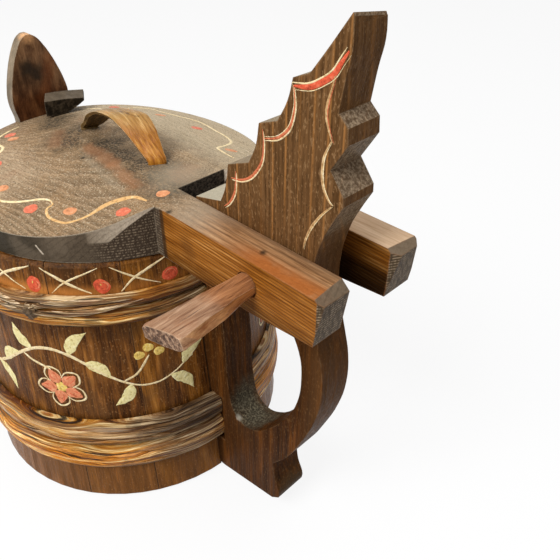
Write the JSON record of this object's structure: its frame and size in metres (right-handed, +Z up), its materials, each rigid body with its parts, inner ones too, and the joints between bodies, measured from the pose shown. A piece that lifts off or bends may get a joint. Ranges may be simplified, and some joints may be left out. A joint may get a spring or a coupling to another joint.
{
  "type": "lidded tankard",
  "caption": "Staved wooden tankard with split-withy hoops, a pierced handle board that ends in a stepped fin, and a forked lid that hinges on a draw-out pin and carries a keyed tongue.",
  "frame": {"origin": "middle of the bounding box, on the table under the staves", "axes": "+X from the front tongue to the handle, +Z up, +Y to the far side, away from the hinge pin's head"},
  "size_m": [0.2704, 0.1894, 0.275],
  "materials": {
    "stave_wood": "dark stain under worn varnish",
    "board_wood": "dark stain under worn varnish",
    "bottom_wood": "bare, unstained",
    "hoop_withy": "split withy, varnished",
    "lid_wood": "stained, worn matt on top",
    "strap_withy": "split withy, varnished",
    "tongue_wood": "dark stain under varnish",
    "key_wood": "charcoal stain, rough",
    "pin_wood": "whittled, stained"
  },
  "bodies": {
    "vessel": {"handle_board": "board_wood", "stave_01": "stave_wood", "stave_02": "stave_wood", "stave_03": "stave_wood", "stave_04": "stave_wood", "stave_05": "stave_wood", "stave_06": "stave_wood", "stave_07": "stave_wood", "stave_08": "stave_wood", "stave_09": "stave_wood", "stave_10": "stave_wood", "stave_11": "stave_wood", "stave_12": "stave_wood", "stave_13": "stave_wood", "stave_14": "stave_wood", "bottom_disc": "bottom_wood", "lower_hoop_bottom_strand": "hoop_withy", "lower_hoop_top_strand": "hoop_withy", "upper_hoop_bottom_strand": "hoop_withy", "upper_hoop_top_strand": "hoop_withy"},
    "lid": {"lid": "lid_wood", "lid_strap": "strap_withy", "lid_tongue": "tongue_wood"},
    "key": {"tongue_key": "key_wood"},
    "pin": {"hinge_pin": "pin_wood"}
  },
  "joints": [
    {"name": "lid_hinge", "type": "hinge", "parent": "vessel", "child": "lid", "pos_m": [0.09632, 0.0025, 0.1705], "axis": [0, 1, 0], "range_deg": [0, 76]},
    {"name": "hinge_pin_pull", "type": "slide", "parent": "vessel", "child": "pin", "axis": [0, -1, 0], "range_m": [0, 0.065]},
    {"name": "key_pull", "type": "slide", "parent": "lid", "child": "key", "axis": [0.9781, 0, 0.2079], "range_m": [0, 0.02]}
  ]
}
